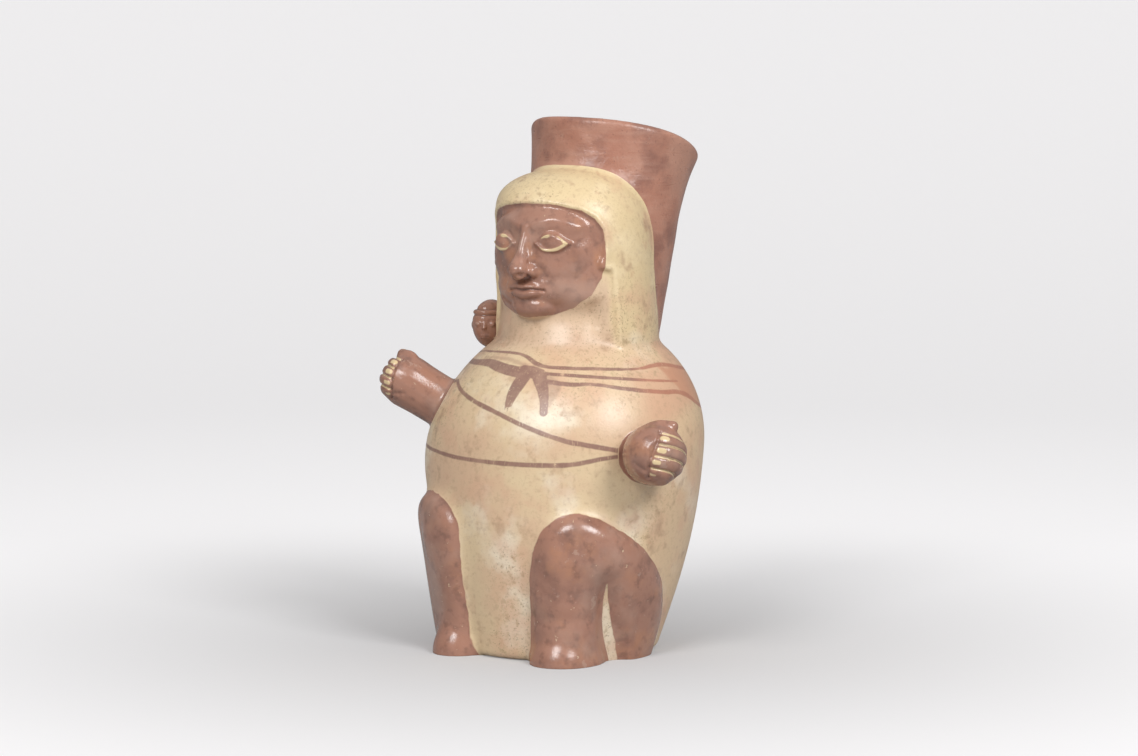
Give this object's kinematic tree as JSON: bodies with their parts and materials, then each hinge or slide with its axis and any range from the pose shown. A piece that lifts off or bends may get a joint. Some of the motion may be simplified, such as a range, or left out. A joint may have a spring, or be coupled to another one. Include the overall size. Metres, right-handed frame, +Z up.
{
  "type": "figural jar",
  "caption": "Seated hooded figure jar of slipped earthenware: hollow oval body, leaning flared neck behind the head, drawn-up legs, short arms and a carried child's head.",
  "frame": {"origin": "centre of the flat base, on the surface that the jar stands on", "axes": "+Z up, -Y the way the figure faces, +X to the figure's left"},
  "size_m": [0.159, 0.129, 0.2238],
  "materials": {
    "cream_slip": "burnished cream slip over red clay",
    "brown_slip": "polished red-brown slip",
    "red_slip": "burnished red slip",
    "bare_clay": "unslipped fired clay"
  },
  "bodies": {
    "root": {"front_shell": "cream_slip", "back_shell": "cream_slip", "head_shell": "cream_slip", "neck_spout": "red_slip", "right_leg": "brown_slip", "left_leg": "brown_slip", "right_forearm": "brown_slip", "left_forearm": "brown_slip", "carried_child_head": "brown_slip", "base_slab": "bare_clay", "base_joint_coil": "bare_clay", "right_seam_coil": "bare_clay", "left_seam_coil": "bare_clay", "neck_joint_coil": "bare_clay"}
  },
  "joints": []
}
